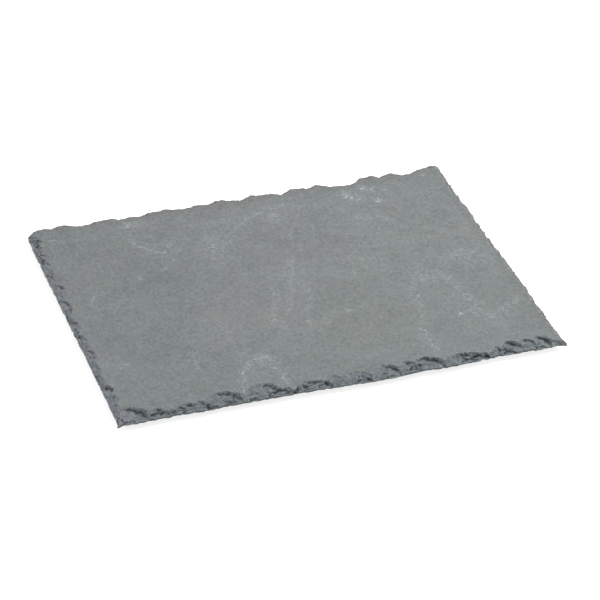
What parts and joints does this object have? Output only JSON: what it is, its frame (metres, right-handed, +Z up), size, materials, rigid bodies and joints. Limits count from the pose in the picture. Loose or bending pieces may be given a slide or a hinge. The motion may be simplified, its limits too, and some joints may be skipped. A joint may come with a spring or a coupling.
{
  "type": "slate serving board",
  "caption": "Flat rectangular slate board with flaked, hand-dressed edges on round rubber feet, for serving or presenting food.",
  "frame": {"origin": "on the table, under the middle of the board's bounding box", "axes": "+X along the board's length to its right, +Y along its width to its back, +Z up out of the serving face"},
  "size_m": [0.4, 0.2997, 0.0087],
  "materials": {
    "slate": "riven, matt",
    "rubber": "satin",
    "adhesive": "matt"
  },
  "bodies": {
    "root": {"slate_slab": "slate", "foot_front_left": "rubber", "foot_front_right": "rubber", "foot_back_right": "rubber", "foot_back_left": "rubber", "adhesive_front_left": "adhesive", "adhesive_front_right": "adhesive", "adhesive_back_right": "adhesive", "adhesive_back_left": "adhesive"}
  },
  "joints": []
}
